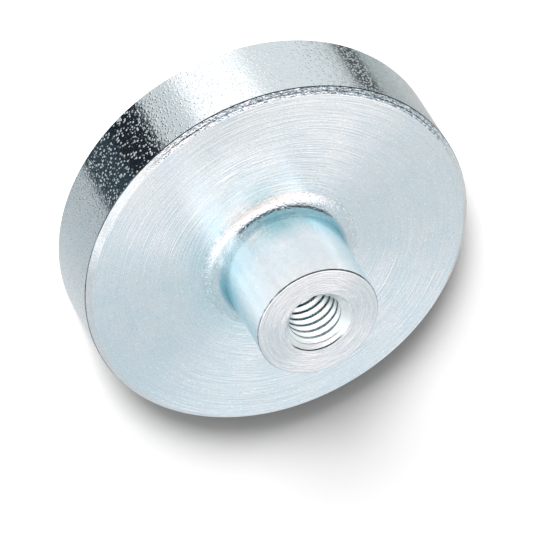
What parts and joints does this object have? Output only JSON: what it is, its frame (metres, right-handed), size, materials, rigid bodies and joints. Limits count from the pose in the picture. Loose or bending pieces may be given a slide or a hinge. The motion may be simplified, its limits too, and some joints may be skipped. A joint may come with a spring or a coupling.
{
  "type": "pot magnet",
  "caption": "Flat round pot magnet: a zinc-plated steel cup holding a disc magnet in resin, with a tapped boss flaring out of its back.",
  "frame": {"origin": "centre of the magnetic face, in the plane of the steel rim", "axes": "+Z along the common axis of pot, boss and tapped hole, from the magnetic face to the boss end; the part stands on its magnetic face"},
  "size_m": [0.032, 0.032, 0.0155],
  "materials": {
    "zinc_plated_steel": "blue-passivated zinc plate: fine concentric turning rings on the back, the chamfer and the boss end, pebbly tumbled side wall, smooth boss",
    "nickel_plated_magnet": "bright nickel plate, faint grinding haze",
    "cast_resin": "cured black epoxy, smooth, slightly hollow"
  },
  "bodies": {
    "root": {"steel_pot": "zinc_plated_steel", "magnet_disc": "nickel_plated_magnet", "resin_ring": "cast_resin"}
  },
  "joints": []
}
